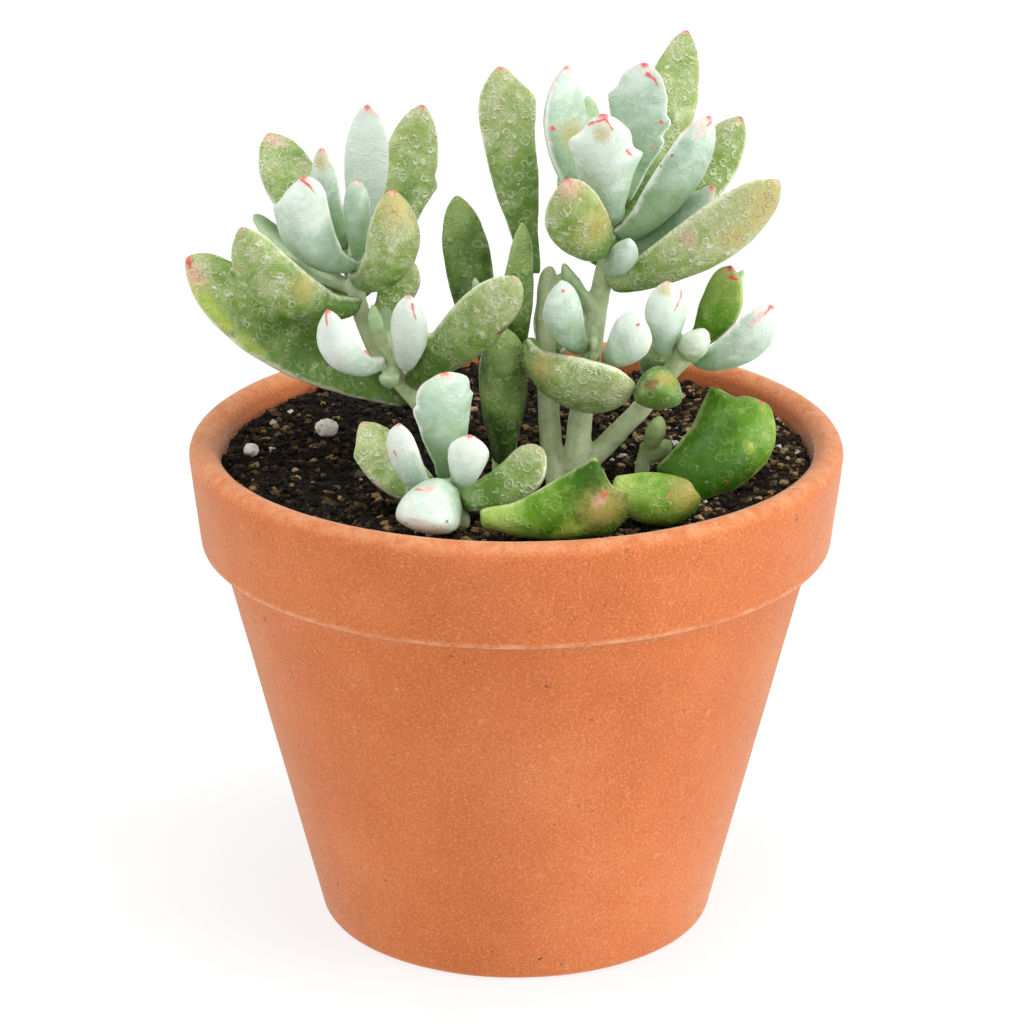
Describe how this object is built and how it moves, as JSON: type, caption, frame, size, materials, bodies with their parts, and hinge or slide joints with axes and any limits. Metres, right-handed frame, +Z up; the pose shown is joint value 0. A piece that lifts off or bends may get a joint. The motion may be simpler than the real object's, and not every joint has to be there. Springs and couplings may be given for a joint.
{
  "type": "potted little queeny cotyledon",
  "caption": "Small succulent with thick toothed leaves on branching stems, rooted in potting mix in a tapered terracotta pot with a rounded rim band.",
  "frame": {"origin": "centre of the pot's underside", "axes": "+Z up along the pot's axis; the front of the plant faces -Y and +X is to its right"},
  "size_m": [0.106, 0.106, 0.1448],
  "materials": {
    "terracotta": "unglazed fired clay, matt, fine speckle",
    "soil": "loose dark potting mix with light grit, matt",
    "perlite": "white porous grain, matt",
    "stem": "pale grey-green skin, satin",
    "mature_leaf": "fleshy olive-green leaf with fine raised loops, satin",
    "pale_leaf": "young pale mint leaf under white bloom, pink tip",
    "dark_leaf": "dark green shaded leaf, satin",
    "bright_leaf": "bright green young leaf, satin"
  },
  "bodies": {
    "root": {"pot": "terracotta", "soil": "soil", "left_stem": "stem", "centre_stem": "stem", "front_stem": "stem", "right_stem": "stem", "sprout": "bright_leaf", "perlite_grain": "perlite", "perlite_grain_left": "perlite", "perlite_grain_right": "perlite", "left_lowest_leaf": "mature_leaf", "left_inner_leaf": "mature_leaf", "left_front_leaf": "mature_leaf", "left_middle_leaf": "mature_leaf", "left_rear_leaf": "mature_leaf", "left_back_right_leaf": "mature_leaf", "left_pale_leaf": "pale_leaf", "left_tall_pale_leaf": "pale_leaf", "left_small_rear_leaf": "pale_leaf", "left_new_leaf": "pale_leaf", "left_facing_leaf": "mature_leaf", "left_hidden_leaf": "mature_leaf", "shoot_left_leaf": "pale_leaf", "shoot_right_leaf": "pale_leaf", "centre_left_leaf": "dark_leaf", "centre_right_leaf": "dark_leaf", "centre_front_leaf": "dark_leaf", "front_tall_leaf": "pale_leaf", "front_left_leaf": "pale_leaf", "front_right_leaf": "pale_leaf", "front_facing_leaf": "pale_leaf", "front_back_leaf": "mature_leaf", "front_side_leaf": "mature_leaf", "right_outer_left_leaf": "mature_leaf", "right_pale_front_leaf": "pale_leaf", "right_crown_leaf": "pale_leaf", "right_toothed_leaf": "pale_leaf", "right_tallest_leaf": "mature_leaf", "right_long_pale_leaf": "pale_leaf", "right_back_leaf": "mature_leaf", "right_slim_leaf": "pale_leaf", "right_longest_leaf": "mature_leaf", "right_facing_leaf": "mature_leaf", "right_small_facing_leaf": "pale_leaf", "right_boat_leaf": "mature_leaf", "bud_shoot_left_leaf": "pale_leaf", "bud_shoot_right_leaf": "pale_leaf", "arm_upright_leaf": "pale_leaf", "arm_long_leaf": "pale_leaf", "arm_green_leaf": "bright_leaf", "soil_front_leaf": "bright_leaf", "soil_middle_leaf": "bright_leaf", "soil_right_leaf": "bright_leaf", "left_away_leaf": "mature_leaf", "right_away_leaf": "mature_leaf", "right_low_away_leaf": "mature_leaf", "arm_away_leaf": "dark_leaf", "arm_round_leaf": "mature_leaf"}
  },
  "joints": []
}
